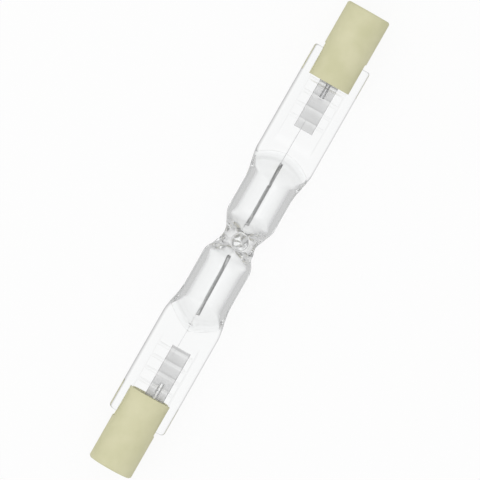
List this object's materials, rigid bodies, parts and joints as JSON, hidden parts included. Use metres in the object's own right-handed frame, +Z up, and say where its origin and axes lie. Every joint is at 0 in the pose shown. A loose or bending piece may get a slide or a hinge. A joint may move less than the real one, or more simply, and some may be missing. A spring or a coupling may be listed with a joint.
{
  "type": "linear halogen bulb",
  "caption": "Slim double-ended halogen bulb: a clear quartz tube with a waist and exhaust tip at its middle, flat pinched seals and round ceramic caps.",
  "frame": {"origin": "on the bulb's axis, midway between the ends of its caps", "axes": "+X along the bulb to the right cap, Y across the flat pinches, +Z up through the exhaust tip"},
  "size_m": [0.0782, 0.0094, 0.008],
  "materials": {
    "quartz": "clear, polished",
    "ceramic": "matt, pale yellow",
    "cement": "matt, off-white",
    "nickel": "satin",
    "molybdenum": "satin",
    "tungsten": "drawn wire"
  },
  "bodies": {
    "root": {"quartz_envelope": "quartz", "filament": "tungsten", "left_foil": "molybdenum", "left_lead_pin": "molybdenum", "left_cap": "ceramic", "left_contact": "nickel", "left_cement": "cement", "right_foil": "molybdenum", "right_lead_pin": "molybdenum", "right_cap": "ceramic", "right_contact": "nickel", "right_cement": "cement"}
  },
  "joints": []
}
